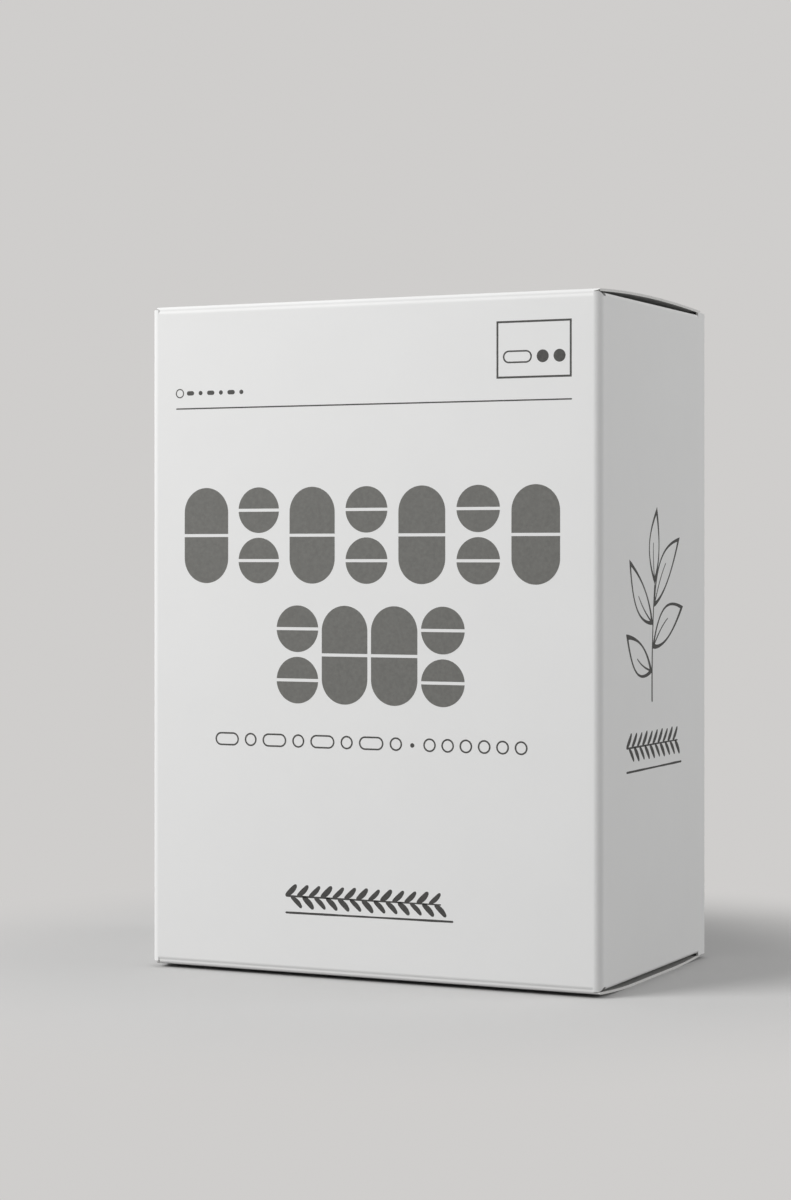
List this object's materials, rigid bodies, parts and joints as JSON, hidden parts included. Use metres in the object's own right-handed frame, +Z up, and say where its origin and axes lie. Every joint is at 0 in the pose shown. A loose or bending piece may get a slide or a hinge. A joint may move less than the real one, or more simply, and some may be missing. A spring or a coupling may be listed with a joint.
{
  "type": "box of tablets",
  "caption": "Upright white card tuck-end carton with top and bottom closures hinged on the front panel, holding blister strips of tablets and a folded leaflet.",
  "frame": {"origin": "middle of the flat face that the carton stands on, under the middle of its plan", "axes": "+Z up, -Y out of the wide front panel, +X to the right as seen from the front"},
  "size_m": [0.088, 0.055, 0.1215],
  "materials": {
    "card": "matte coated white",
    "blister": "white film with a foil back",
    "leaflet": "thin uncoated paper"
  },
  "bodies": {
    "carton": {"carton": "card", "blister_strip_1": "blister", "blister_strip_2": "blister", "blister_strip_3": "blister", "blister_strip_4": "blister", "blister_strip_5": "blister", "blister_strip_6": "blister", "leaflet": "leaflet"},
    "top_lid": {"top_lid": "card"},
    "bottom_lid": {"bottom_lid": "card"}
  },
  "joints": [
    {"name": "top_lid_hinge", "type": "hinge", "parent": "carton", "child": "top_lid", "pos_m": [0, -0.0275, 0.1207], "axis": [1, 0, 0], "range_deg": [0, 170]},
    {"name": "bottom_lid_hinge", "type": "hinge", "parent": "carton", "child": "bottom_lid", "pos_m": [0, -0.0275, 0.0007], "axis": [-1, 0, 0], "range_deg": [0, 170]}
  ]
}
